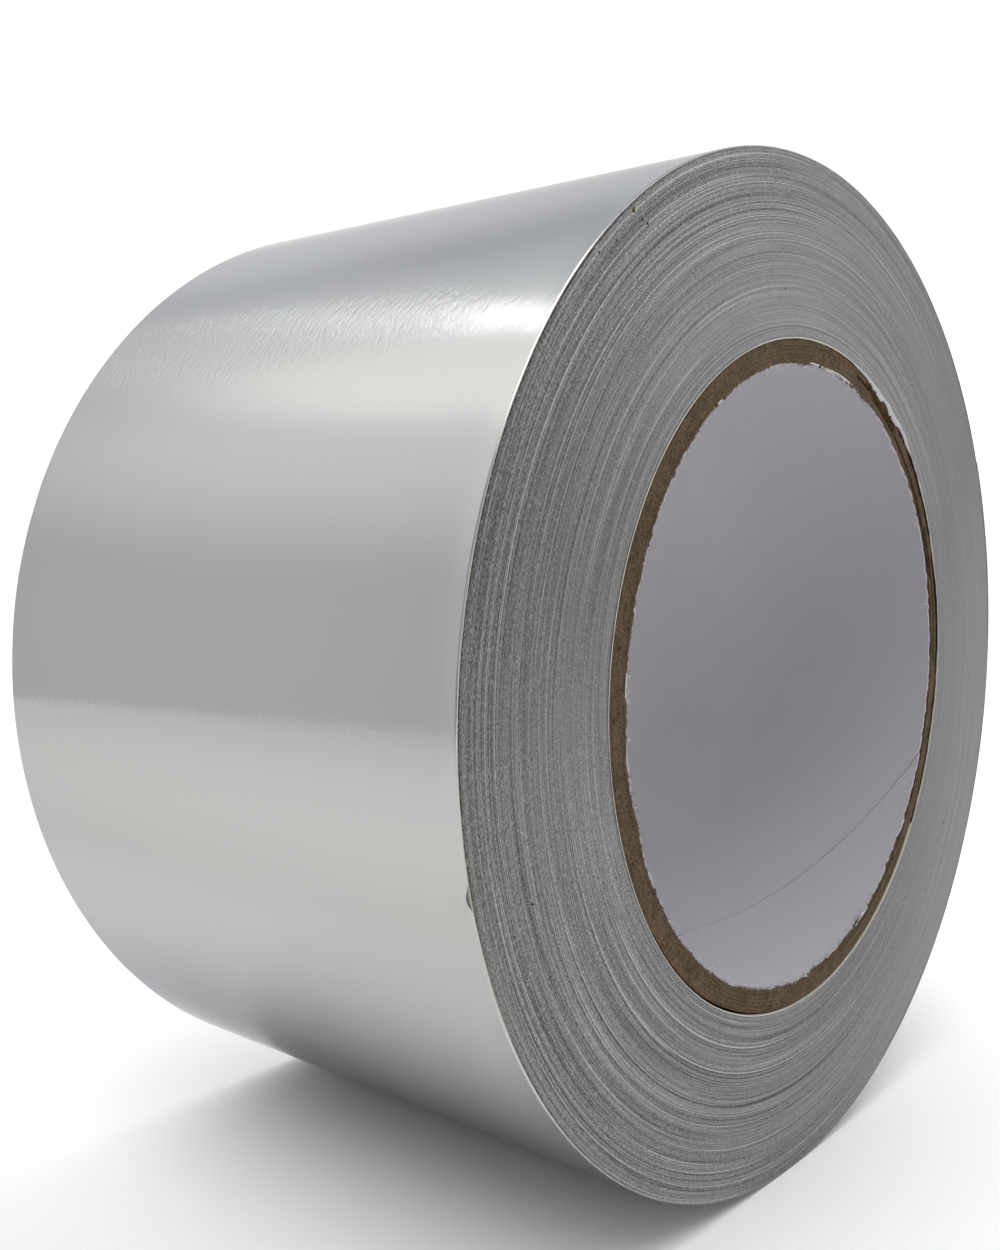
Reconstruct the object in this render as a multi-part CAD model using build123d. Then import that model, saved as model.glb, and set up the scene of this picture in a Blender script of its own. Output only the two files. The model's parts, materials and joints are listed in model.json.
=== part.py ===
"""A wide roll of aluminium foil tape on a spiral-wound paper core.

The roll's axis lies along Y and the centre of the bore is the origin. +Z is up, so the roll stands
on its tread. Angles run from +X towards +Z. The tape winds outwards as that angle rises: its
release liner faces the core, its foil faces out, and the adhesive lies between the two.
"""

import math
import os

from build123d import *

# driving dimensions, in mm and degrees
TAPE_WIDTH = 76.2
BORE_RADIUS = 38.1
INNER_PLY = 0.40
BODY_PLY = 0.48
BODY_PLIES = 5
OUTER_PLY = 0.25
FOIL = 0.050
ADHESIVE = 0.035
LINER = 0.072
WRAPS = 140
START_GLUE = 0.02
TAIL_ANGLE = 27.0
PEEL_CLEARANCE = 0.02
TAIL_ROOT_GAP = 0.05
SEAM_PITCH = 121.0
SEAM_GAP = 0.35
INNER_SEAM_ANGLE = -135.2
SEAM_STAGGER = 137.5

# worked out from them
WRAP = FOIL + ADHESIVE + LINER
CORE_RADIUS = BORE_RADIUS + INNER_PLY + BODY_PLIES * BODY_PLY + OUTER_PLY
WIND_RADIUS = CORE_RADIUS + START_GLUE
LAYERS = (("liner", LINER), ("adhesive", ADHESIVE), ("foil", FOIL))
BACK_FACE = Plane.XZ.offset(-TAPE_WIDTH / 2)


def across_width(sketch):
    """The solid whose section is the sketch, from the back face of the roll to the front."""
    return extrude(BACK_FACE * sketch, TAPE_WIDTH)


def upper_arc(start_radius, first=0.0, last=180.0):
    """The upper half turn of a spiral that leaves +X at start_radius."""
    return CenterArc((-WRAP / 4, 0), start_radius + WRAP / 4, first, last - first)


def lower_arc(start_radius):
    """The lower half turn of the same spiral. It ends one wrap further out than the upper began."""
    return CenterArc((WRAP / 4, 0), start_radius + 3 * WRAP / 4, 180, 180)


def joined(first, second):
    """The straight edge from the start of one arc to the start of the other."""
    return Line(first @ 0, second @ 0)


def one_turn(inner_radius, outer_radius):
    """One full turn of web between two spirals, given by their radii where the turn starts."""
    inner = [upper_arc(inner_radius), lower_arc(inner_radius)]
    outer = [upper_arc(outer_radius), lower_arc(outer_radius)]
    start = joined(inner[0], outer[0])
    end = Line(inner[1] @ 1, outer[1] @ 1)
    return make_face(Curve() + inner + outer + [start, end])


def inside_spiral(start_radius):
    """All that lies inside one turn of the spiral, with its step at +X."""
    upper = upper_arc(start_radius)
    lower = lower_arc(start_radius)
    return make_face(Curve() + [upper, lower, Line(lower @ 1, upper @ 0)])


def seam_cutter(inner_radius, thickness, seam_angle):
    """A helical blade through one ply. It crosses mid-width at seam_angle."""
    mid_radius = inner_radius + thickness / 2
    path = Helix(SEAM_PITCH, SEAM_PITCH, mid_radius, center=(0, 0, -SEAM_PITCH / 2))
    outwards = Vector(1, 0, 0)
    section = Plane(path @ 0, x_dir=outwards, z_dir=path % 0) * Rectangle(2 * thickness, SEAM_GAP)
    blade = sweep(section, path, is_frenet=True)
    return Rot(90, 0, 0) * Rot(0, 0, seam_angle - 180) * blade


def core_ply(inner_radius, thickness, seam_angle):
    """One paper ply of the core: a strip wound helically, whose edges nearly meet at the seam."""
    ring = Circle(inner_radius + thickness) - Circle(inner_radius)
    return across_width(ring) - seam_cutter(inner_radius, thickness, seam_angle)


def core_plies():
    """Every ply of the core by name, from the bore outwards, with staggered seams."""
    names = [f"core_body_ply_{n + 1}" for n in range(BODY_PLIES)]
    names = ["core_inner_ply", *names, "core_outer_ply"]
    thicknesses = [INNER_PLY, *[BODY_PLY] * BODY_PLIES, OUTER_PLY]
    plies = {}
    radius = BORE_RADIUS
    for number, (name, thickness) in enumerate(zip(names, thicknesses)):
        seam_angle = INNER_SEAM_ANGLE + number * SEAM_STAGGER
        plies[name] = core_ply(radius, thickness, seam_angle)
        radius += thickness
    return plies


def wrap_layers(prefix, start_radius):
    """One wrap of the web as its three layers, starting at start_radius."""
    layers = {}
    radius = start_radius
    for layer, thickness in LAYERS:
        layers[f"{prefix}_{layer}"] = across_width(one_turn(radius, radius + thickness))
        radius += thickness
    return layers


def wound_pack(start_radius, end_radius):
    """The wraps between the first and the last, taken as one laminate with spiral faces."""
    return across_width(inside_spiral(end_radius) - inside_spiral(start_radius))


def tail_strip(inner_radius, outer_radius):
    """One layer of the web's free end, lying on the last wrap just past +X."""
    root = math.degrees(TAIL_ROOT_GAP / inner_radius)
    inner = upper_arc(inner_radius, root, TAIL_ANGLE)
    outer = upper_arc(outer_radius, root, TAIL_ANGLE)
    tip = Line(inner @ 1, outer @ 1)
    return across_width(make_face(Curve() + [inner, outer, joined(inner, outer), tip]))


def tail_layers(start_radius):
    """The free end as its three layers, with clearance under the liner and under the adhesive."""
    liner_inside = start_radius + PEEL_CLEARANCE
    adhesive_inside = liner_inside + LINER + PEEL_CLEARANCE
    foil_inside = adhesive_inside + ADHESIVE
    return {
        "tail_liner": tail_strip(liner_inside, liner_inside + LINER),
        "tail_adhesive": tail_strip(adhesive_inside, foil_inside),
        "tail_foil": tail_strip(foil_inside, foil_inside + FOIL),
    }


def all_nodes():
    """Every node of the roll by name."""
    last_wrap_radius = WIND_RADIUS + (WRAPS - 1) * WRAP
    nodes = core_plies()
    nodes |= wrap_layers("first_wrap", WIND_RADIUS)
    nodes["wound_pack"] = wound_pack(WIND_RADIUS + WRAP, last_wrap_radius)
    nodes |= wrap_layers("last_wrap", last_wrap_radius)
    nodes |= tail_layers(last_wrap_radius + WRAP)
    return nodes


os.makedirs("parts", exist_ok=True)
for name, solid in all_nodes().items():
    export_step(solid, f"parts/{name}.step")
    size = solid.bounding_box().size
    print(f"{name}: {solid.volume:.1f} mm3, {size.X:.3f} x {size.Y:.3f} x {size.Z:.3f} mm")
tail_outside = WIND_RADIUS + WRAPS * WRAP + WRAP + 2 * PEEL_CLEARANCE
print(f"tail hinge line at x = {tail_outside:.4f} mm")
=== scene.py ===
"""The looks of a roll of aluminium foil tape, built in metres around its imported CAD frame.

The roll's axis is Y. Its open end faces -Y, and it stands on its tread on a pale floor. Angles run
from +X towards +Z, and the web winds outwards as that angle rises.
"""

import json
import math
from functools import partial

import bmesh
import bpy
import numpy as np
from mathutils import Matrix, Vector


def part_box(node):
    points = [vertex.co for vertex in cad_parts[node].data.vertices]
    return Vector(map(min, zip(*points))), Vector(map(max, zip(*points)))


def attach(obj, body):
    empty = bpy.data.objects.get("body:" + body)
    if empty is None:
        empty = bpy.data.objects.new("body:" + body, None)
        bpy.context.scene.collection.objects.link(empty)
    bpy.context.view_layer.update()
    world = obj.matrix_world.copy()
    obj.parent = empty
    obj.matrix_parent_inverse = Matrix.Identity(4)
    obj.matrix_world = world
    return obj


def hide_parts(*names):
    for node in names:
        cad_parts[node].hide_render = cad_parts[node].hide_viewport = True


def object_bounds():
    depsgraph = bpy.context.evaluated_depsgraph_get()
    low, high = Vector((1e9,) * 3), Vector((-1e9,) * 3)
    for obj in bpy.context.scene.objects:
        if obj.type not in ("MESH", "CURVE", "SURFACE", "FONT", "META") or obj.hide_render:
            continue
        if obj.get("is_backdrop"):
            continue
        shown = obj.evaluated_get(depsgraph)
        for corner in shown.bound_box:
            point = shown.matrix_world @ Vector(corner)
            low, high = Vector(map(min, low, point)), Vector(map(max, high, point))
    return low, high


MM = 0.001
FULL_TURN = 2 * math.pi

# the web: its turns, and each layer's share of its thickness
TURNS = 140
LINER_SHARE = 0.46
FOIL_SHARE = 0.32
DISH = 0.70 * MM
LAYERS = {
    "liner": (0, LINER_SHARE),
    "adhesive": (LINER_SHARE, 1 - FOIL_SHARE),
    "foil": (1 - FOIL_SHARE, 1),
}

# the slit edges of the wraps on the wound faces: a ridge's foot and top are shares of a wrap
RIDGE_FOOT = 0.30
RIDGE_TOP = 0.86
GROUP_OF_WRAPS = 7
GROUP_RISE = 0.010 * MM
SINGLE_RISE = 0.035 * MM
LOCAL_RISE = 0.012 * MM
VALLEY = 0.045 * MM
FACE_RECESS = 0.09 * MM
LAST_WRAPS_RECESS = 0.55 * MM
LOOSE_WRAPS = 5

# the outermost foil
WAVE_HEIGHT = 0.010 * MM
LINE_HEIGHT = 0.0012 * MM
RIM_SLACK = 0.15 * MM
SLACK_REACH = 0.9 * MM
SHOULDER_DROP = 0.06 * MM
SHOULDER_WIDTH = 0.26 * MM
NICK_ANGLE = -166.5
NICK_HEIGHT = 0.32 * MM
NICK_DEPTH = 0.25 * MM
NICK_REACH = 0.4 * MM

# the free end, just clear of the sheets beside it
SHEET_GAP = 0.004 * MM
TIP_WAVER = math.radians(0.25)

# the core's plies: where each number is torn out, as (centre, half width), and how far it is sunk
PLY_NODES = ["core_inner_ply", *[f"core_body_ply_{n}" for n in range(1, 6)], "core_outer_ply"]
TORN_OUT = {3: ((40, 32),), 4: ((61, 13), (13, 19)), 5: ((60, 9),)}
TORN_OUT_DEPTH = 1.5 * MM
SUNK = {1: 0.50 * MM, 2: 0.40 * MM}
OTHER_SUNK = 0.16 * MM
GNAWED_DEPTH = 0.50 * MM
FIBRE_ROUGHNESS = 0.045 * MM
END_ROUNDING = 0.04 * MM

# the white lining and its helical seam
SEAM_GAP = math.radians(0.22)
SEAM_PITCH = 121 * MM
SEAM_MIDDLE = math.radians(-135.2)
TORN_SHARE = 0.012
CURL_HEIGHT = 0.035 * MM
FRAY_HEIGHT = 0.07 * MM

# loose paper at the front mouth: places are (angle, spread) or (from, to) in degrees
FLAKE_THICKNESS = 0.10 * MM
TUFT_PLACES = ((177, 4), (135, 3), (-62, 5), (-82, 8), (90, 12))
FIBRE_PLACES = ((176, 5), (134, 3), (30, 14), (-85, 12))
BURR_ARCS = ((62, 300),)
FLAKE_ARCS = ((70, 90), (122, 126), (174, 179), (-66, -60), (-93, -87), (-40, -37))

# dust on the front face, as (angle, radius mm, size mm)
CRUMBS = (
    (127, 62.8, 0.5), (126.2, 61.3, 0.35), (125.6, 60.6, 0.45), (131, 61.9, 0.3), (134, 62.7, 0.25),
    (-30, 52, 0.25), (-100, 60, 0.25), (98, 47, 0.3), (-140, 62.4, 0.3),
)
DARK_CRUMBS = ((-162.5, 56.1, 0.26),)

# the floor
FLOOR_EDGE_AWAY = 424 * MM
FLOOR_REACH = 6.0

# the camera, from the centre of the bore
CAMERA_PLACE = (-148.66 * MM, -115.51 * MM, 18.97 * MM)
LOOK_TURN = math.radians(49.445)
LOOK_DOWN = math.radians(4.372)
LENS = 38.11


# ---------------------------------------------------------------- numbers


def ripple(angles, seed, lowest, highest, fall):
    """A seamless random curve around the roll, scaled to -1..1. Higher waves fade by fall."""
    rng = np.random.default_rng(seed)
    waves = np.unique(np.geomspace(lowest, highest, 48).astype(int))
    phases = rng.uniform(0, FULL_TURN, len(waves))
    strengths = rng.uniform(0.5, 1.0, len(waves)) * waves ** -float(fall)
    curve = sum(s * np.cos(w * angles + p) for w, p, s in zip(waves, phases, strengths))
    return curve / np.abs(curve).max()


def swell(angles, centre, half_width):
    """1 at the centre angle, falling smoothly to 0 half_width away. Both are in degrees."""
    away = (np.degrees(angles) - centre + 180) % 360 - 180
    return np.clip(1 - (away / half_width) ** 2, 0, 1) ** 2


def drift(places, seed, count):
    """Random values from -1 to 1 at 0, 1, 2 ... count, joined by straight lines."""
    values = np.random.default_rng(seed).uniform(-1, 1, count + 1)
    return np.interp(places, np.arange(count + 1), values)


# ---------------------------------------------------------------- meshes


def made(name, vertices, faces, sharp_above):
    """A mesh object with its normals outwards, smooth below that angle in degrees."""
    mesh = bpy.data.meshes.new(name)
    mesh.from_pydata(vertices, [], faces)
    work = bmesh.new()
    work.from_mesh(mesh)
    bmesh.ops.recalc_face_normals(work, faces=work.faces)
    work.to_mesh(mesh)
    work.free()
    mesh.shade_smooth()
    mesh.set_sharp_from_angle(angle=math.radians(sharp_above))
    piece = bpy.data.objects.new(name, mesh)
    bpy.context.collection.objects.link(piece)
    return piece


def revolved(name, radii, depths, angles, capped=False, sharp_above=40):
    """A closed mesh from a section taken round the Y axis.

    Each array is (section points, columns). The section is a closed loop that goes out and comes
    back with equally many points. A capped mesh ends at its first and last column.
    """
    radii, depths, angles = np.broadcast_arrays(radii, depths, angles)
    points, columns = radii.shape
    places = np.stack([radii * np.cos(angles), depths, radii * np.sin(angles)], axis=-1)
    index = np.arange(points * columns).reshape(points, columns)
    below = np.roll(index, -1, axis=0)
    if capped:
        here, there = np.s_[:, :-1], np.s_[:, 1:]
        faces = np.stack([index[here], index[there], below[there], below[here]], axis=-1)
        faces = faces.reshape(-1, 4).tolist()
        half = points // 2 - 1
        for column in (0, columns - 1):
            loop = index[:, column]
            back = loop[::-1]
            caps = [loop[:half], loop[1 : half + 1], back[1 : half + 1], back[:half]]
            faces += np.stack(caps, axis=-1).tolist()
    else:
        beside, corner = np.roll(index, -1, axis=1), np.roll(below, -1, axis=1)
        faces = np.stack([index, beside, corner, below], axis=-1).reshape(-1, 4).tolist()
    return made(name, places.reshape(-1, 3).tolist(), faces, sharp_above)


# ---------------------------------------------------------------- the frame's sizes


class Roll:
    """Sizes of the roll, read from the frame."""

    def __init__(self, record):
        bore = next(m for m in record["mounts"] if m["name"] == "core_bore")
        low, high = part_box("last_wrap_foil")
        self.bore_radius = bore["dims"]["r_mm"] * MM
        self.front = low.y
        self.back = high.y
        self.core_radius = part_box("core_outer_ply")[1].x
        self.wrap = (high.x - self.core_radius) / (TURNS + 1)
        self.rim_front = self.front + DISH

    def radius(self, wraps):
        """The web's radius that many wraps out from the core."""
        return self.core_radius + self.wrap * wraps


def loosening(angles):
    """How far the first wraps stand off the core: a torn gap at upper right, a crescent below."""
    torn = 0.32 * swell(angles, 50, 30) + 0.16 * swell(angles, 10, 44) + 0.12 * swell(angles, 84, 28)
    crescent = 0.20 * swell(angles, -122, 36)
    return (torn * (1 + 0.16 * ripple(angles, 19, 14, 90, 0.5)) + crescent) * MM


# ---------------------------------------------------------------- the wound web


def wound_pack(roll):
    """The wraps between the first and the last. Each wrap's foil edge is a ridge on both faces."""
    columns = np.linspace(0, FULL_TURN, 177)
    wraps = np.arange(1, TURNS - 1)
    ridge_feet_and_tops = np.stack([wraps + RIDGE_FOOT, wraps + RIDGE_TOP], axis=1).ravel()
    places = np.concatenate([[1.0], ridge_feet_and_tops, [TURNS - 1.0]])
    valleys = np.full((len(places), 1), VALLEY)
    valleys[2:-1:2] = 0
    wound = places[:, None] + columns[None, :] / FULL_TURN
    still_loose = np.exp(-np.maximum(wound - 1, 0) / LOOSE_WRAPS)
    radii = roll.radius(wound) + loosening(columns)[None, :] * still_loose
    faces = []
    for seed, face, inwards in ((11, roll.front, 1), (23, roll.back, -1)):
        groups = drift(wound / GROUP_OF_WRAPS, seed, TURNS) * GROUP_RISE
        singles = drift(wound, seed + 1, TURNS + 2) ** 3 * SINGLE_RISE
        around = ripple(columns, seed + 2, 2, 30, 0.6)[None, :]
        local = around * drift(wound * 2, seed + 3, 3 * TURNS) * LOCAL_RISE
        faces.append(face + inwards * (FACE_RECESS - (groups + singles + local - valleys)))
    faces[0] += DISH * wound / TURNS
    faces[0][-2:] += LAST_WRAPS_RECESS * swell(columns, 172, 72)
    return revolved(
        "wound_pack_edges",
        np.concatenate([radii, radii[::-1]]),
        np.concatenate([faces[0], faces[1][::-1]]),
        columns[None, :],
        capped=True,
        sharp_above=12,
    )


def liner_recess(angles):
    """How far the first liner's edge is behind the front face: it stands higher on the left."""
    return (0.16 - 0.13 * swell(angles, 150, 62)) * MM


def slot_recess(angles):
    """How far the last liner and adhesive are behind the outermost foil's edge."""
    return (0.16 - 0.10 * swell(angles, 172, 80)) * MM


def flush_recess(angles):
    """A slight, even recess."""
    return np.full_like(angles, 0.03 * MM)


def web_layer(roll, name, first_wrap, low_share, high_share, stand_off, recess):
    """One layer of one turn of web, from low_share to high_share of the wrap's thickness."""
    dished = DISH * first_wrap / TURNS
    columns = np.linspace(0, FULL_TURN, 361)
    wound = first_wrap + columns / FULL_TURN
    inner = roll.radius(wound + low_share) + stand_off(columns)
    outer = roll.radius(wound + high_share) + stand_off(columns)
    edge = recess(columns) + 0.02 * MM * ripple(columns, len(name), 5, 160, 0.4)
    front, back = roll.front + dished + edge, roll.back - np.maximum(edge, 0)
    middle = np.zeros_like(columns)
    radii = np.stack([outer, outer, outer, inner, inner, inner])
    depths = np.stack([front, middle, back, back, middle, front])
    return revolved(name, radii, depths, columns[None, :], capped=True)


def rim_lift(columns):
    """How far the outermost foil stands off at the front rim: a long slack edge and a nick."""
    slack = RIM_SLACK * swell(columns, 172, 74) * (1 + 0.3 * ripple(columns, 33, 5, 60, 0.5))
    return slack + NICK_HEIGHT * swell(columns, NICK_ANGLE, 1.5)


def foil_face(roll):
    """The outermost foil. Its slow waves and rolled-over rims shape what it reflects."""
    columns = np.linspace(0, FULL_TURN, 721)
    rim_rows = np.array([0.0008, 0.0016, 0.0026, 0.0040, 0.011])
    middle_rows = np.linspace(0, 1, 34)[1:-1]
    across = np.concatenate([[0], rim_rows, middle_rows, 1 - rim_rows[::-1], [1]])[:, None]
    width = roll.back - roll.rim_front
    from_front = width * across
    wound = TURNS - FOIL_SHARE + columns / FULL_TURN
    waves = WAVE_HEIGHT * ripple(columns, 31, 3, 16, 1.2)[None, :] * np.sin(across * 2.2 + 0.4)
    lines = LINE_HEIGHT * np.random.default_rng(5).uniform(-1, 1, across.shape)
    lift = rim_lift(columns)[None, :] * np.exp(-((from_front / SLACK_REACH) ** 1.5))
    to_rim = np.minimum(across, 1 - across) * width
    turned_in = SHOULDER_DROP * (1 + 0.5 * ripple(columns, 37, 6, 90, 0.5))
    shoulder = turned_in[None, :] * np.clip(1 - to_rim / SHOULDER_WIDTH, 0, 1) ** 2
    inner = roll.radius(wound)[None, :] + lift - shoulder
    outer = inner + FOIL_SHARE * roll.wrap + waves + lines
    nick = NICK_DEPTH * swell(columns, NICK_ANGLE, 1.2)[None, :] * np.exp(-from_front / NICK_REACH)
    depth = roll.rim_front + from_front + nick
    return revolved(
        "foil_face",
        np.concatenate([outer, inner[::-1]]),
        np.concatenate([depth, depth[::-1]]),
        columns[None, :],
        capped=True,
        sharp_above=50,
    )


def tail_layer(roll, name, node, share):
    """One layer of the web's free end, in the place of its CAD node, with a slightly wavy tip."""
    low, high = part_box(node)
    columns = np.linspace(0.0008, math.asin((high.z - low.z) / high.x), 60)[None, :]
    across = np.linspace(0, 1, 12)[:, None]
    opening = roll.wrap / 4 * (1 - np.cos(columns))
    outer = high.x + opening - SHEET_GAP
    inner = outer - share * roll.wrap + SHEET_GAP
    depth = roll.rim_front + (roll.back - roll.rim_front) * across
    waver = 1 + ripple(across * FULL_TURN, 29, 2, 9, 0.4)
    angles = columns - TIP_WAVER * (columns / columns.max()) ** 40 * waver
    outer, inner, depth, angles = np.broadcast_arrays(outer, inner, depth, angles)
    return revolved(
        name,
        np.concatenate([outer, inner[::-1]]),
        np.concatenate([depth, depth[::-1]]),
        np.concatenate([angles, angles[::-1]]),
        capped=True,
        sharp_above=50,
    )


# ---------------------------------------------------------------- the paper core


def gnawed(angles):
    """How far the core's outer corner is torn away, raggedly, beside the loose wraps."""
    ragged = 0.4 + 1.5 * ripple(angles, 97, 14, 80, 0.3) + 1.0 * ripple(angles, 98, 60, 260, 0.1)
    return GNAWED_DEPTH * np.clip(ragged, 0, 1.2) * (swell(angles, 46, 38) + 0.7 * swell(angles, 0, 50))


def hollow(angles, number):
    """How deep that ply lies: torn out at upper right, where the plies parted, and sunk on the right."""
    torn = sum((swell(angles, *place) for place in TORN_OUT.get(number, ())), np.zeros_like(angles))
    ragged = 1 + 0.35 * ripple(angles, 103 + number, 20, 200, 0.3)
    sunk = SUNK.get(number, OTHER_SUNK) * swell(angles, -6, 90)
    return TORN_OUT_DEPTH * np.clip(torn * ragged * 3 - 0.5, 0, 1) + sunk


def board_ply(roll, name, inner, outer, seed, torn, sunk):
    """One chipboard ply. Its sawn ends are fibrous, and stand a little above or below the next."""
    columns = np.linspace(0, FULL_TURN, 541)[:-1]
    rng = np.random.default_rng(seed)
    across = np.linspace(0.03, 0.97, 4)[:, None]
    radius = inner + (outer - inner) * across
    level = (0.06 + 0.03 * rng.uniform(0, 1)) * MM + END_ROUNDING * (2 * across - 1) ** 2
    ends = []
    for end, inwards in ((roll.front, 1), (roll.back, -1)):
        rows = [ripple(columns, int(rng.integers(1e6)), 4, 260, 0.35) for _ in across]
        ends.append(end + inwards * (level + FIBRE_ROUGHNESS * np.stack(rows)))
    ends[0] += sunk(columns)
    bitten = np.minimum(torn(columns), outer - inner)[None, :] * 0.9
    front_radii = radius - across**2 * bitten
    back_radii = np.broadcast_to(radius[::-1], front_radii.shape)
    radii = np.concatenate([front_radii, back_radii])
    depths = np.concatenate([ends[0], ends[1][::-1]])
    return revolved(name, radii, depths, columns[None, :], sharp_above=60)


def seam_angle(depth):
    """Where the white ply's helical seam crosses that depth."""
    return SEAM_MIDDLE - FULL_TURN * depth / SEAM_PITCH


def white_ply(roll, inner, outer):
    """The white lining of the bore, torn ragged at both mouths, with its helical butt seam."""
    share = np.linspace(0, 1, 901)
    ends = [0.0015, 0.004, 0.01], [0.99, 0.996, 0.9985]
    rows = np.concatenate([[0], ends[0], np.linspace(0.02, 0.98, 40), ends[1], [1]])
    flat_depth = roll.front + (roll.back - roll.front) * rows
    angles = seam_angle(flat_depth)[:, None] + SEAM_GAP / 2 + share[None, :] * (FULL_TURN - SEAM_GAP)
    near_front = np.clip(1 - rows / TORN_SHARE, 0, 1)[:, None]
    near_back = np.clip(1 - (1 - rows) / TORN_SHARE, 0, 1)[:, None]
    torn = near_front * torn_edge(angles[0], 41) - near_back * torn_edge(angles[-1], 43)
    depth = flat_depth[:, None] + torn
    curl = CURL_HEIGHT * np.exp(-np.minimum(share, 1 - share) / 0.0016)[None, :]
    front_fray = near_front * ripple(angles[0], 47, 30, 300, 0.2)
    back_fray = near_back * ripple(angles[-1], 48, 30, 300, 0.2)
    bore_wall = inner - curl - FRAY_HEIGHT * (front_fray + back_fray)
    outer_wall = np.full_like(bore_wall, outer)
    return revolved(
        "core_lining",
        np.concatenate([bore_wall, outer_wall[::-1]]),
        np.concatenate([depth, depth[::-1]]),
        np.concatenate([angles, angles[::-1]]),
        capped=True,
        sharp_above=50,
    )


def torn_edge(angles, seed):
    """How far back from the mouth the white paper is torn at each angle."""
    coarse = ripple(angles, seed, 6, 60, 0.5)
    fine = ripple(angles, seed + 1, 60, 420, 0.15)
    kept = 1 - 0.4 * swell(angles, 5, 88)
    return MM * np.maximum((0.17 + 0.18 * coarse + 0.26 * fine) * kept, 0.02)


def mouth_burr(roll, name, inner, outer, seed, arcs):
    """The rag of paper that the saw left around the bore's front mouth, over each (from, to) arc."""
    across = np.linspace(0, 1, 4)[:, None]
    parts = []
    for number, (first, last) in enumerate(arcs):
        columns = np.radians(np.linspace(first, last, max(48, int((last - first) * 7))))
        arc_seed = seed + 10 * number
        ends = np.clip(np.minimum(columns - columns[0], columns[-1] - columns) * 12, 0, 1)
        coarse = ripple(columns, arc_seed, 8, 70, 0.4)
        spikes = np.clip(ripple(columns, arc_seed + 1, 120, 900, 0.0) - 0.25, 0, 1)
        fine = ripple(columns, arc_seed + 4, 70, 400, 0.2)
        reach = ends * MM * (0.06 + 0.17 * coarse + 0.12 * fine + 0.50 * spikes)
        radii = outer - (outer - inner + np.maximum(reach, -0.1 * MM))[None, :] * across
        level = MM * (0.02 + 0.06 * ripple(columns, arc_seed + 2, 10, 300, 0.3))[None, :]
        curl = across**2 * MM * 0.12 * ripple(columns, arc_seed + 3, 20, 200, 0.3)[None, :]
        front = roll.front + level + curl
        back = front + FLAKE_THICKNESS
        radii = np.concatenate([radii, radii[::-1]])
        depths = np.concatenate([front, back[::-1]])
        parts.append(revolved(f"{name}_{number}", radii, depths, columns[None, :], capped=True))
    return parts


def strands(name, roots, directions, lengths, widths, seed):
    """Short curled fibres as thin tapered tubes, one for each root point and direction."""
    rng = np.random.default_rng(seed)
    sides, steps = 4, 5
    vertices, faces = [], []
    for root, direction, length, width in zip(roots, directions, lengths, widths):
        heading = Vector(direction).normalized()
        bend = Vector(rng.normal(size=3)).cross(heading).normalized() * rng.uniform(0.2, 0.9)
        centre = Vector(root)
        start = len(vertices)
        for step in range(steps):
            side = heading.orthogonal().normalized()
            other = heading.cross(side)
            girth = width * (1 - 0.8 * step / (steps - 1)) / 2
            for corner in range(sides):
                turn = FULL_TURN * corner / sides
                vertices.append(centre + (side * math.cos(turn) + other * (0.5 * math.sin(turn))) * girth)
            centre = centre + heading * (length / (steps - 1))
            heading = (heading + bend * (1 / (steps - 1))).normalized()
        for step in range(steps - 1):
            for corner in range(sides):
                low = start + step * sides
                after = (corner + 1) % sides
                faces.append([low + corner, low + after, low + sides + after, low + sides + corner])
        faces.append([start + corner for corner in range(sides)])
        last = start + (steps - 1) * sides
        faces.append([last + corner for corner in range(sides)])
    return made(name, vertices, faces, 60)


def mouth_fibres(roll, name, radius, count, seed, length, width, places):
    """Fibres around the bore's front mouth, thickest at the given (angle, spread) places."""
    rng = np.random.default_rng(seed)
    clustered = [rng.normal(centre, spread, count // (2 * len(places))) for centre, spread in places]
    angles = np.radians(np.concatenate([rng.uniform(-180, 180, count // 2), *clustered]))
    roots, directions = [], []
    for angle in angles:
        outwards = Vector((math.cos(angle), 0, math.sin(angle)))
        along = Vector((-math.sin(angle), 0, math.cos(angle)))
        root = outwards * (radius + rng.uniform(-0.06, 0.12) * MM)
        roots.append(root + Vector((0, roll.front + rng.uniform(0.02, 0.30) * MM, 0)))
        inwards = -outwards * rng.uniform(0.1, 1.0)
        directions.append(inwards + along * rng.normal(0, 0.8) + Vector((0, rng.uniform(-0.25, 0.5), 0)))
    lengths = (rng.uniform(0.4, 1.0, len(roots)) * length).tolist()
    widths = (rng.uniform(0.6, 1.4, len(roots)) * width).tolist()
    return strands(name, roots, directions, lengths, widths, seed + 1)


def torn_liner(roll):
    """The torn white start of the liner, folded out over the inner wraps at upper right."""
    columns = np.radians(np.linspace(26, 74, 260))
    across = np.linspace(0, 1, 6)
    middle = swell(columns, 50, 26)
    frayed = 0.22 * ripple(columns, 61, 14, 90, 0.3) + 0.16 * ripple(columns, 62, 60, 500, 0.1)
    reach = np.maximum(MM * middle * (0.20 + frayed), 0.02 * MM)
    ragged = 0.35 + 1.6 * ripple(columns, 63, 16, 90, 0.2) + 1.0 * ripple(columns, 64, 90, 400, 0.1)
    folded_in = 0.62 * swell(columns, 60, 15) * (0.75 + 0.25 * np.clip(ragged, -1, 1))
    bite = MM * (0.24 * middle * np.clip(ragged, 0, 1.2) + folded_in)
    edge = roll.radius(0) + loosening(columns) - bite
    radii = edge[None, :] + across[:, None] * (reach + bite)[None, :]
    curl = 0.03 + 0.16 * np.sin(across * 2.4)[:, None] * middle[None, :]
    front = roll.front + 0.04 * MM - curl * MM
    back = front + 0.09 * MM
    return revolved(
        "torn_liner_edge",
        np.concatenate([radii, radii[::-1]]),
        np.concatenate([front, back[::-1]]),
        columns[None, :],
        capped=True,
        sharp_above=50,
    )


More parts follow.
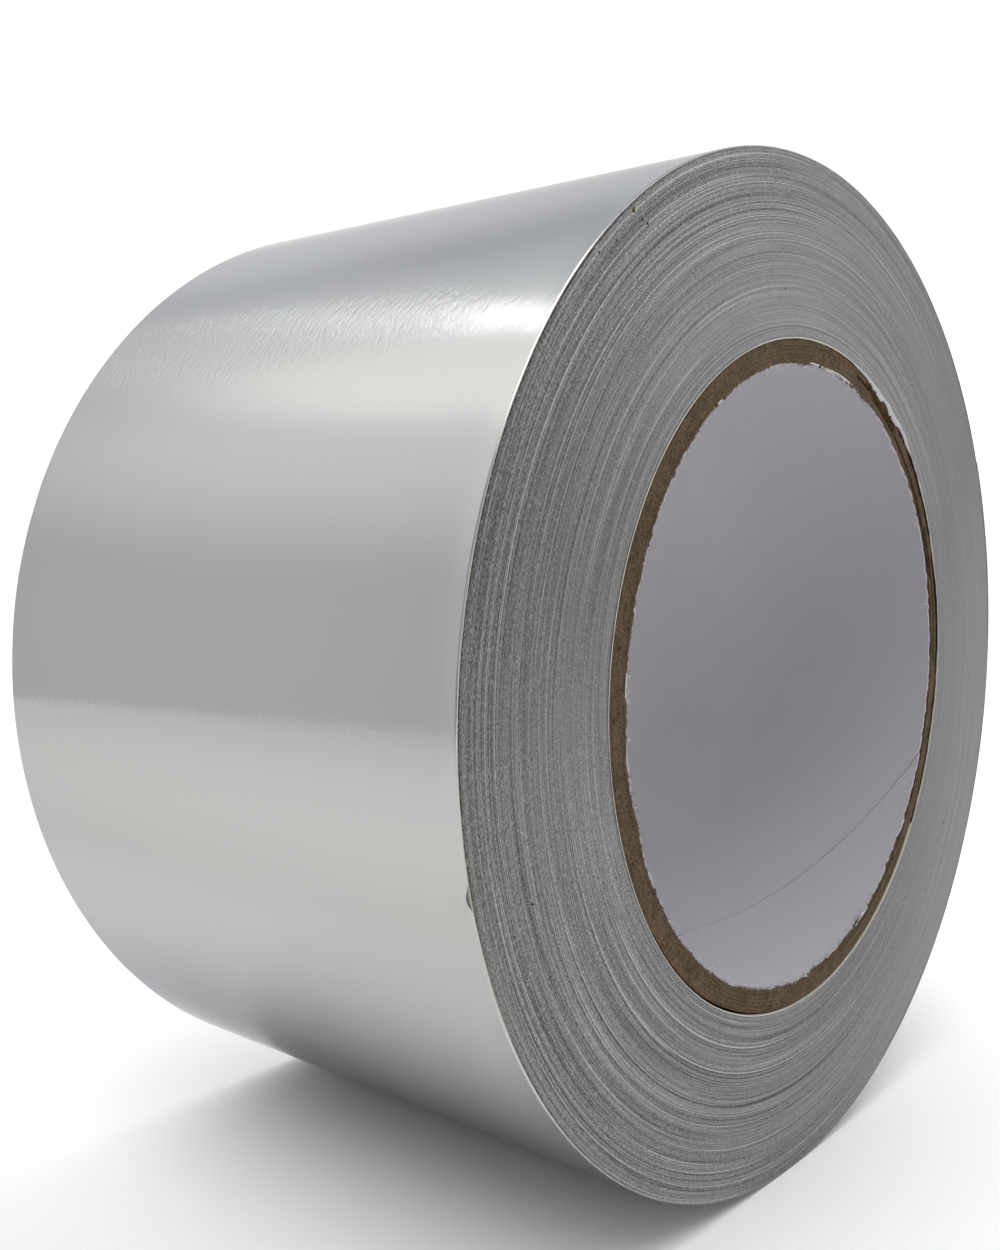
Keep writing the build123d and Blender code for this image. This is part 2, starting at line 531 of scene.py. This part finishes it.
def gap_shreds_and_shade(roll):
    """Board torn off with the first wrap, still stuck to its inside across the gap, coloured near-black as
    painted shade in the gap.
    """
    columns = np.radians(np.linspace(-36, 84, 440))
    ragged = 0.10 + 0.10 * ripple(columns, 67, 6, 200, 0.3)
    wall = roll.radius(0) + loosening(columns) - 0.01 * MM
    lumps = 1 + ripple(columns, 69, 20, 200, 0.3)
    stuck = 0.05 * MM + 0.12 * MM * swell(columns, 44, 36) * lumps
    thickness = np.minimum(stuck, 0.5 * loosening(columns) + 0.005 * MM)
    front = roll.front + ragged * MM
    back = np.full_like(columns, roll.back - 1 * MM)
    middle = (front + back) / 2
    radii = np.stack([wall, wall, wall, wall - thickness, wall - thickness, wall - thickness])
    depths = np.stack([front, middle, back, back, middle, front])
    return revolved("gap_shreds_and_shade", radii, depths, columns[None, :], capped=True)


def specks(roll, name, places, seed):
    """Small crumbs of core dust on the front face, as (angle, radius mm, size mm)."""
    rng = np.random.default_rng(seed)
    vertices, faces = [], []
    for angle, radius, size in places:
        crumb = bmesh.new()
        bmesh.ops.create_icosphere(crumb, subdivisions=2, radius=size * MM / 2)
        start = len(vertices)
        turn = math.radians(angle)
        away = radius * MM
        centre = Vector((away * math.cos(turn), roll.front - 0.04 * MM, away * math.sin(turn)))
        stretch = Vector(rng.uniform(0.5, 1.3, 3))
        for vertex in crumb.verts:
            rough = vertex.co * rng.uniform(0.65, 1.2)
            vertices.append(centre + Vector((rough.x * stretch.x, rough.y * 0.5, rough.z * stretch.z)))
        faces += [[start + v.index for v in face.verts] for face in crumb.faces]
        crumb.free()
    return made(name, vertices, faces, 30)


# ---------------------------------------------------------------- materials


class Nodes:
    """A node tree that is filled by short calls."""

    def __init__(self, tree):
        self.tree = tree

    def add(self, kind, inputs=(), **settings):
        """A node with its settings, whose inputs are values or other sockets."""
        node = self.tree.nodes.new(kind)
        for key, value in settings.items():
            setattr(node, key, value)
        for key, value in dict(inputs).items():
            if isinstance(value, bpy.types.NodeSocket):
                self.tree.links.new(value, node.inputs[key])
            else:
                node.inputs[key].default_value = value
        return node

    def math(self, operation, first, second=0.0):
        """One sum on numbers."""
        return self.add("ShaderNodeMath", {0: first, 1: second}, operation=operation).outputs[0]

    def object_place(self):
        """Object coordinates, in metres in the roll's own frame."""
        return self.add("ShaderNodeTexCoord").outputs["Object"]

    def object_axes(self):
        """The X, Y and Z of the object coordinates."""
        return self.add("ShaderNodeSeparateXYZ", {"Vector": self.object_place()}).outputs

    def off_axis(self):
        """Object coordinates with no part along the roll's axis."""
        inputs = {0: self.object_place(), 1: (1, 0, 1)}
        return self.add("ShaderNodeVectorMath", inputs, operation="MULTIPLY").outputs[0]

    def length(self, vector):
        """How long a vector is."""
        return self.add("ShaderNodeVectorMath", {0: vector}, operation="LENGTH").outputs["Value"]

    def place(self, scale):
        """Object coordinates, scaled along each axis."""
        inputs = {"Vector": self.object_place(), "Scale": scale}
        return self.add("ShaderNodeMapping", inputs).outputs["Vector"]

    def noise(self, vector, detail=4.0, roughness=0.6):
        """Noise from 0 to 1, one feature to each unit of the vector."""
        inputs = {"Vector": vector, "Scale": 1.0, "Detail": detail, "Roughness": roughness}
        return self.add("ShaderNodeTexNoise", inputs).outputs["Fac"]

    def ramp(self, value, low, high, from_low=0.0, from_high=1.0):
        """The value moved from one range to another and held inside it."""
        inputs = {"Value": value, "From Min": from_low, "From Max": from_high, "To Min": low, "To Max": high}
        return self.add("ShaderNodeMapRange", inputs).outputs["Result"]

    def blend(self, share, first, second):
        """A colour between two others."""
        mix = self.add("ShaderNodeMix", {"Factor": share}, data_type="RGBA")
        for socket, colour in ((mix.inputs["A"], first), (mix.inputs["B"], second)):
            if isinstance(colour, bpy.types.NodeSocket):
                self.tree.links.new(colour, socket)
            else:
                socket.default_value = (*colour, 1.0)
        return mix.outputs["Result"]

    def bump(self, height, strength, distance, under=None):
        """A normal tilted by the height, over another bump if one is given."""
        inputs = {"Height": height, "Strength": strength, "Distance": distance}
        if under is not None:
            inputs["Normal"] = under
        return self.add("ShaderNodeBump", inputs).outputs["Normal"]

    def rings(self, per_metre, around):
        """Coordinates that run fast outwards and slowly around the roll's axis."""
        flat = self.off_axis()
        unit = self.add("ShaderNodeVectorMath", {0: flat}, operation="NORMALIZE").outputs[0]
        slow = self.add("ShaderNodeVectorMath", {0: unit, "Scale": around}, operation="SCALE").outputs[0]
        fast = self.math("MULTIPLY", self.length(flat), per_metre)
        lift = self.add("ShaderNodeCombineXYZ", {"Y": fast}).outputs[0]
        return self.add("ShaderNodeVectorMath", {0: slow, 1: lift}, operation="ADD").outputs[0]


def material(name, colour, roughness, metallic=0.0):
    """A new material: its nodes and its surface shader."""
    made_material = bpy.data.materials.new(name)
    made_material.use_nodes = True
    nodes = Nodes(made_material.node_tree)
    shader = made_material.node_tree.nodes["Principled BSDF"]
    shader.inputs["Base Color"].default_value = (*colour, 1.0)
    shader.inputs["Roughness"].default_value = roughness
    shader.inputs["Metallic"].default_value = metallic
    return made_material, nodes, shader


def wire(nodes, shader, **sockets):
    """Links each named input of the shader."""
    for key, socket in sockets.items():
        nodes.tree.links.new(socket, shader.inputs[key.replace("_", " ")])


def foil_material():
    """Satin rolled foil: a band and patches of short rubbed strokes, and a little clouding."""
    made_material, nodes, shader = material("foil", (0.57, 0.57, 0.57), 0.15, 1.0)
    shader.inputs["Anisotropic"].default_value = 0.6
    shader.inputs["Anisotropic Rotation"].default_value = 0.25
    shader.inputs["Specular Tint"].default_value = (0.57, 0.575, 0.59, 1.0)
    tangent = nodes.add("ShaderNodeTangent", direction_type="RADIAL", axis="Y").outputs[0]
    parts = nodes.object_axes()
    angle = nodes.math("ARCTAN2", parts["Z"], parts["X"])
    from_band = nodes.math("ABSOLUTE", nodes.math("SUBTRACT", angle, math.radians(139)))
    band = nodes.ramp(from_band, 1, 0, math.radians(3), math.radians(8.5))
    band = nodes.math("MULTIPLY", band, nodes.ramp(parts["Y"], 0.2, 1, -0.031, -0.018))
    strokes = nodes.noise(nodes.place((750, 2500, 750)), detail=3)
    clouds = nodes.noise(nodes.place((24, 24, 24)), detail=3)
    patches = nodes.ramp(nodes.noise(nodes.place((50, 50, 50)), detail=3), 0.05, 0.30, 0.45, 0.68)
    marks = nodes.math("MULTIPLY", strokes, nodes.math("MAXIMUM", band, patches))
    colour = nodes.blend(nodes.ramp(clouds, 0, 1, 0.3, 0.7), (0.564, 0.571, 0.572), (0.575, 0.574, 0.569))
    normal = nodes.bump(marks, 1.0, 0.00008)
    towards_front = nodes.ramp(parts["Y"], 0.15, 0.09, -0.034, 0.022)
    roughness = nodes.math("ADD", towards_front, nodes.ramp(strokes, -0.02, 0.03, 0.3, 0.7))
    wire(nodes, shader, Base_Color=colour, Roughness=roughness, Normal=normal, Tangent=tangent)
    return made_material


def edge_material():
    """The slit edges of foil, adhesive and liner, seen as hundreds of fine grey lines, with near-black lines
    of painted shade in the hollows and bright lines of painted glints.

    The face is crisp at the left. It turns plainer towards the lower right, where it is paler with painted
    sheen, and it is paler near the core at upper left with painted light.
    """
    made_material, nodes, shader = material("wound_edges", (0.3, 0.3, 0.3), 0.4, 0.45)
    fine = nodes.noise(nodes.rings(5600, 1.2), detail=2)
    bands = nodes.noise(nodes.rings(1500, 0.7), detail=3)
    glints = nodes.noise(nodes.rings(5400, 0.9), detail=1)
    shaded_hollows = nodes.noise(nodes.rings(5000, 0.7), detail=1)
    grain = nodes.noise(nodes.rings(9500, 200), detail=3, roughness=0.7)
    banded = nodes.blend(nodes.ramp(bands, 0, 1, 0.32, 0.68), (0.132, 0.132, 0.131), (0.150, 0.149, 0.147))
    lined = nodes.blend(nodes.ramp(fine, 0, 1, 0.42, 0.60), banded, (0.300, 0.299, 0.296))
    # the near-black lines in the hollows between wraps are painted shade, and the bright lines are painted
    # glints
    hollow_shaded = nodes.blend(nodes.ramp(shaded_hollows, 0, 1, 0.61, 0.66), lined, (0.030, 0.030, 0.030))
    bright = nodes.blend(nodes.ramp(glints, 0, 1, 0.63, 0.68), hollow_shaded, (0.55, 0.55, 0.545))
    dark_grain = nodes.blend(nodes.ramp(grain, 0.9, 0, 0.35, 0.47), bright, (0.03, 0.03, 0.03))
    speckled = nodes.blend(nodes.ramp(grain, 0, 0.9, 0.54, 0.66), dark_grain, (0.50, 0.50, 0.498))
    parts = nodes.object_axes()
    # paler towards the lower right: painted sheen
    painted_sheen = nodes.ramp(nodes.math("SUBTRACT", parts["X"], parts["Z"]), 0, 1, 0.025, 0.085)
    even = nodes.blend(painted_sheen, (0.222, 0.221, 0.219), (0.372, 0.371, 0.368))
    # the crisp lines at left give way at lower right to the plain tone with its painted sheen
    crisp = nodes.ramp(parts["X"], 1, 0.22, -0.005, 0.042)
    radius = nodes.length(nodes.off_axis())
    # paler near the core at upper left: painted light
    upper_left = nodes.ramp(nodes.math("SUBTRACT", parts["Z"], parts["X"]), 0, 1, 0.02, 0.05)
    painted_light_near_core = nodes.math("MULTIPLY", upper_left, nodes.ramp(radius, 0.36, 0, 0.043, 0.062))
    colour = nodes.blend(painted_light_near_core, nodes.blend(crisp, even, speckled), (0.36, 0.36, 0.357))
    rough = nodes.ramp(grain, 0.36, 0.55, 0.3, 0.7)
    normal = nodes.bump(grain, 0.6, 0.00006, under=nodes.bump(fine, 0.4, 0.00004))
    wire(nodes, shader, Base_Color=colour, Roughness=rough, Normal=normal)
    return made_material


def board_material(name, dark, light):
    """Fibrous recycled board: long fibres around the core, flecks and stains."""
    made_material, nodes, shader = material(name, light, 0.95)
    shader.inputs["Specular IOR Level"].default_value = 0.15
    fibres = nodes.noise(nodes.rings(4200, 170), detail=5, roughness=0.75)
    stains = nodes.noise(nodes.place((520, 520, 520)), detail=6, roughness=0.75)
    pores = nodes.noise(nodes.place((4300, 4300, 4300)), detail=4, roughness=0.75)
    base = nodes.blend(nodes.ramp(stains, 0, 1, 0.36, 0.64), dark, light)
    lined = nodes.blend(nodes.ramp(fibres, 0, 0.7, 0.50, 0.68), base, dark)
    pitted = nodes.blend(nodes.ramp(pores, 0.9, 0, 0.36, 0.46), lined, (0.014, 0.010, 0.007))
    flecked = nodes.blend(nodes.ramp(pores, 0, 0.7, 0.55, 0.66), pitted, (0.24, 0.175, 0.115))
    height = nodes.math("ADD", fibres, nodes.math("ADD", pores, stains))
    wire(nodes, shader, Base_Color=flecked, Normal=nodes.bump(height, 0.9, 0.00022))
    return made_material


def paper_material(name, colour, shade, at_mouth):
    """Uncoated white paper with faint clouding and a soft tooth, darker towards the front mouth with painted
    shade.
    """
    made_material, nodes, shader = material(name, colour, 0.85)
    shader.inputs["Specular IOR Level"].default_value = 0.25
    clouds = nodes.noise(nodes.place((90, 90, 90)), detail=5)
    tooth = nodes.noise(nodes.place((4200, 4200, 4200)), detail=3)
    tint = nodes.blend(nodes.ramp(clouds, 0, 1, 0.3, 0.7), colour, shade)
    # darker towards the front mouth: painted shade
    towards_front = nodes.ramp(nodes.object_axes()["Y"], 1, 0, -0.038, -0.004)
    shaded_at_mouth = nodes.blend(towards_front, tint, at_mouth)
    wire(nodes, shader, Base_Color=shaded_at_mouth, Normal=nodes.bump(tooth, 0.12, 0.00004))
    return made_material


def adhesive_material():
    """Clear acrylic film, milky at its cut edge, with a tacky unevenness."""
    made_material, nodes, shader = material("adhesive", (0.72, 0.70, 0.62), 0.35)
    shader.inputs["Transmission Weight"].default_value = 0.25
    uneven = nodes.noise(nodes.place((700, 700, 700)), detail=4)
    tint = nodes.blend(nodes.ramp(uneven, 0, 1, 0.3, 0.7), (0.70, 0.68, 0.60), (0.78, 0.76, 0.69))
    wire(nodes, shader, Base_Color=tint, Normal=nodes.bump(uneven, 0.3, 0.0001))
    return made_material


def dressed(piece, look, body, slot, *nodes):
    """Gives a piece its material and its body, and hides the CAD nodes it stands for. Its slot is not used.
    """
    piece.data.materials.clear()
    piece.data.materials.append(look)
    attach(piece, body)
    if nodes:
        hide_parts(*nodes)
    return piece


# ---------------------------------------------------------------- studio


def floor():
    """A pale table top under the roll, grey far to the left, where the foil reflects it.

    Its far left edge shows in the foil as a level line.
    """
    half = math.sqrt(0.5)
    to_edge, along = Vector((-half, half, 0)), Vector((half, half, 0))
    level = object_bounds()[0].z
    aways, alongs = (FLOOR_EDGE_AWAY, -FLOOR_REACH), (-FLOOR_REACH, FLOOR_REACH)
    corners = [to_edge * away + along * far for away in aways for far in alongs]
    mesh = bpy.data.meshes.new("floor")
    mesh.from_pydata([c + Vector((0, 0, level)) for c in corners], [], [(0, 1, 3, 2)])
    table = bpy.data.objects.new("floor", mesh)
    bpy.context.collection.objects.link(table)
    look, nodes, shader = material("floor", (0.93, 0.93, 0.93), 0.7)
    across = nodes.object_axes()["X"]
    near = nodes.blend(nodes.ramp(across, 1, 0, -0.088, -0.056), (0.95, 0.95, 0.945), (0.76, 0.735, 0.71))
    shade = nodes.blend(nodes.ramp(across, 1, 0, -0.30, -0.12), near, (0.57, 0.565, 0.56))
    wire(nodes, shader, Base_Color=shade)
    mesh.materials.append(look)
    table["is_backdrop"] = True


# the studio's discs of light, as azimuth from +X towards +Y, elevation, full and outer half width
# in degrees, and colour
BASE_LIGHT = (0.41, 0.42, 0.44)
SOFT_LIGHTS = (
    (40, -2, 34, 51, (0.62, 0.615, 0.60)),  # the white backdrop behind the roll
    (50, 33, 5, 17, (0.11, 0.11, 0.11)),
    (76, 31, 5, 15, (0.12, 0.12, 0.125)),
    (62, 48, 8, 26, (0.17, 0.18, 0.21)),
    (104, 4, 18, 54, (0.265, 0.255, 0.24)),
    (124, 31, 5, 20, (0.07, 0.07, 0.07)),
    (108, 54, 5, 42, (0.34, 0.34, 0.31)),
    (105, 49, 7, 17, (0.42, 0.42, 0.39)),
    (92, 49.4, 1.2, 4.2, (1.5, 1.5, 1.5)),  # the small lamp of the foil's highlight
    (190, 72, 18, 36, (2.5, 2.5, 2.5)),
    (212, 58, 6, 22, (0.5, 0.5, 0.5)),
    (-8, 2, 12, 38, (0.9, 0.9, 0.88)),
    (-28, 60, 10, 36, (1.0, 1.0, 1.0)),
    (222, 5, 25, 60, (-0.18, -0.18, -0.18)),  # a black flag, which takes light away
)


def studio():
    """Soft light from every side: plain cards and lamps as smooth discs on a grey surround."""
    world = bpy.data.worlds.new("studio")
    bpy.context.scene.world = world
    world.use_nodes = True
    nodes = Nodes(world.node_tree)
    direction = nodes.add("ShaderNodeTexCoord").outputs["Generated"]
    light = BASE_LIGHT
    for azimuth, elevation, full, outer, colour in SOFT_LIGHTS:
        turn, rise = math.radians(azimuth), math.radians(elevation)
        towards = (math.cos(turn) * math.cos(rise), math.sin(turn) * math.cos(rise), math.sin(rise))
        inputs = {0: direction, 1: towards}
        facing = nodes.add("ShaderNodeVectorMath", inputs, operation="DOT_PRODUCT").outputs["Value"]
        near, far = math.cos(math.radians(full)), math.cos(math.radians(outer))
        disc = nodes.add(
            "ShaderNodeMapRange",
            {"Value": facing, "From Min": far, "From Max": near},
            interpolation_type="SMOOTHSTEP",
        ).outputs["Result"]
        lamp = nodes.add("ShaderNodeVectorMath", {0: colour, "Scale": disc}, operation="SCALE").outputs[0]
        light = nodes.add("ShaderNodeVectorMath", {0: light, 1: lamp}, operation="ADD").outputs[0]
    background = world.node_tree.nodes["Background"]
    world.node_tree.links.new(light, background.inputs["Color"])
    background.inputs["Strength"].default_value = 1.0
    bpy.context.scene.view_settings.view_transform = "Standard"


def camera():
    """The camera, at the photograph's place and angle."""
    data = bpy.data.cameras.new("camera")
    data.lens = LENS
    data.clip_start = 0.01
    holder = bpy.data.objects.new("camera", data)
    look = Vector((
        math.sin(LOOK_TURN) * math.cos(LOOK_DOWN),
        math.cos(LOOK_TURN) * math.cos(LOOK_DOWN),
        -math.sin(LOOK_DOWN),
    ))
    holder.location = CAMERA_PLACE
    holder.rotation_mode = "QUATERNION"
    holder.rotation_quaternion = look.to_track_quat("-Z", "Y")
    bpy.context.collection.objects.link(holder)
    bpy.context.scene.camera = holder


# ---------------------------------------------------------------- the scene

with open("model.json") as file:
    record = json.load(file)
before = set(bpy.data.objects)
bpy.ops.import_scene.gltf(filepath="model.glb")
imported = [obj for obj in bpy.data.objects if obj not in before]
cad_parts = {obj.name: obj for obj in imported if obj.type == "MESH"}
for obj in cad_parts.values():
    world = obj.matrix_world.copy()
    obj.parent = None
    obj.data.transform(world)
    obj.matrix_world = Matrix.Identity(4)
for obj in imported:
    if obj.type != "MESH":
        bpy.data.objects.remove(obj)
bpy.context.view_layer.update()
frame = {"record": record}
roll = Roll(frame["record"])

foil = foil_material()
edges = edge_material()
liner = paper_material("release_liner", (0.66, 0.62, 0.53), (0.58, 0.545, 0.46), (0.62, 0.58, 0.49))
# the lining is white paper, greyed here as painted shade inside the bore
lining = paper_material("white_paper", (0.565, 0.543, 0.58), (0.535, 0.517, 0.555), (0.41, 0.395, 0.425))
torn_paper = paper_material("torn_paper", (0.66, 0.64, 0.65), (0.48, 0.46, 0.46), (0.56, 0.54, 0.55))
folded_liner = paper_material("folded_liner", (0.54, 0.52, 0.55), (0.46, 0.44, 0.47), (0.52, 0.50, 0.53))
board = board_material("chipboard", (0.108, 0.072, 0.043), (0.188, 0.126, 0.078))
kraft = board_material("kraft_paper", (0.120, 0.068, 0.034), (0.24, 0.140, 0.072))
glue = adhesive_material()
dust = board_material("dust", (0.10, 0.06, 0.03), (0.20, 0.12, 0.06))
# near-black board: painted shade in the gap beside the first wrap, and the colour of a dark crumb on the
# face
crumb_and_gap_shade = board_material("dark_crumb_and_gap_shade", (0.010, 0.008, 0.006), (0.03, 0.022, 0.015))

ply_edges = [roll.bore_radius, *[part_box(node)[1].x for node in PLY_NODES]]
dressed(white_ply(roll, *ply_edges[:2]), lining, "roll", "white_paper", "core_inner_ply")
for number, node in enumerate(PLY_NODES[1:], start=1):
    look, slot = (kraft, "kraft_paper") if node == "core_outer_ply" else (board, "chipboard")
    torn = gnawed if number > 4 else np.zeros_like
    sunk = partial(hollow, number=number)
    inner, outer = ply_edges[number : number + 2]
    ply = board_ply(roll, f"{node}_board", inner, outer, 70 + number, torn, sunk)
    dressed(ply, look, "roll", slot, node)

dressed(wound_pack(roll), edges, "roll", "wound_edges", "wound_pack")
looks = {"liner": (liner, "release_liner"), "adhesive": (glue, "adhesive"), "foil": (foil, "foil")}
recesses = {"liner": liner_recess, "adhesive": flush_recess, "foil": flush_recess}
for layer, (low, high) in LAYERS.items():
    piece = web_layer(roll, f"first_turn_{layer}", 0, low, high, loosening, recesses[layer])
    dressed(piece, looks[layer][0], "roll", looks[layer][1], f"first_wrap_{layer}")
for layer in ("liner", "adhesive"):
    low, high = LAYERS[layer]
    piece = web_layer(roll, f"last_turn_{layer}", TURNS - 1, low, high, np.zeros_like, slot_recess)
    dressed(piece, looks[layer][0], "roll", looks[layer][1], f"last_wrap_{layer}")
dressed(foil_face(roll), foil, "roll", "foil", "last_wrap_foil")

for layer, (low, high) in LAYERS.items():
    body = "liner_flap" if layer == "liner" else "foil_flap"
    piece = tail_layer(roll, f"free_end_{layer}", f"tail_{layer}", high - low)
    dressed(piece, looks[layer][0], body, looks[layer][1], f"tail_{layer}")

lining_edge = ply_edges[1]
tufts = mouth_fibres(roll, "paper_tufts", roll.bore_radius, 360, 81, 1.0 * MM, 0.14 * MM, TUFT_PLACES)
burrs = mouth_burr(roll, "board_burr", lining_edge - 0.02 * MM, lining_edge + 0.20 * MM, 301, BURR_ARCS)
for part in burrs:
    dressed(part, board, "roll", "chipboard")
flakes = mouth_burr(roll, "paper_flake", lining_edge - 0.10 * MM, lining_edge + 0.10 * MM, 401, FLAKE_ARCS)
for part in flakes:
    dressed(part, torn_paper, "roll", "white_paper")
dressed(tufts, torn_paper, "roll", "white_paper")
fibre_root = lining_edge + 0.1 * MM
fibres = mouth_fibres(roll, "board_fibres", fibre_root, 520, 91, 1.0 * MM, 0.10 * MM, FIBRE_PLACES)
dressed(fibres, kraft, "roll", "chipboard")
dressed(torn_liner(roll), folded_liner, "roll", "release_liner")
dressed(gap_shreds_and_shade(roll), crumb_and_gap_shade, "roll", "kraft_paper")
dressed(specks(roll, "dust_specks", CRUMBS, 7), dust, "roll", "chipboard")
dressed(specks(roll, "dark_speck", DARK_CRUMBS, 9), crumb_and_gap_shade, "roll", "chipboard")

floor()
studio()
camera()
